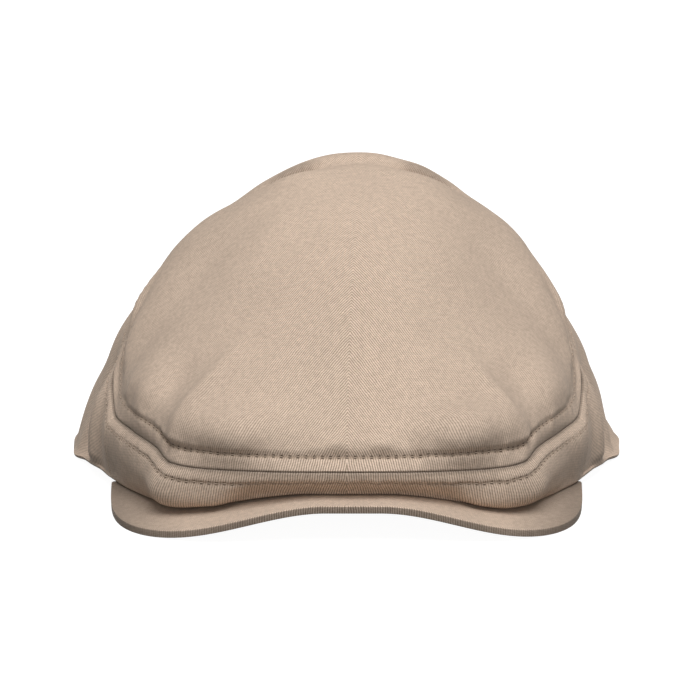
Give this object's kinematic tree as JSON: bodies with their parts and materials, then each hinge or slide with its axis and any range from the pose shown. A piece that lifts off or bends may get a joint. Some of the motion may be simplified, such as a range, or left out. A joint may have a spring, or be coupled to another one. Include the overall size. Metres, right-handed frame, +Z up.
{
  "type": "flat bill cap",
  "caption": "Low flat cap in sand cotton twill: a top panel sewn down over a short arched bill, side panels and a front band, open below for the head.",
  "frame": {"origin": "middle of the cap's footprint, at the height of the surface that it rests on", "axes": "+Z up, +X to the wearer's left, -Y the way the bill points"},
  "size_m": [0.2046, 0.2267, 0.1074],
  "materials": {
    "crown_twill": "matt sand-coloured cotton twill, brushed, with topstitching in the same colour",
    "bill_twill": "the same twill drawn tight over the bill's board"
  },
  "bodies": {
    "root": {"top_panel": "crown_twill", "front_band": "crown_twill", "side_panel_left": "crown_twill", "side_panel_right": "crown_twill", "bill": "bill_twill"}
  },
  "joints": []
}
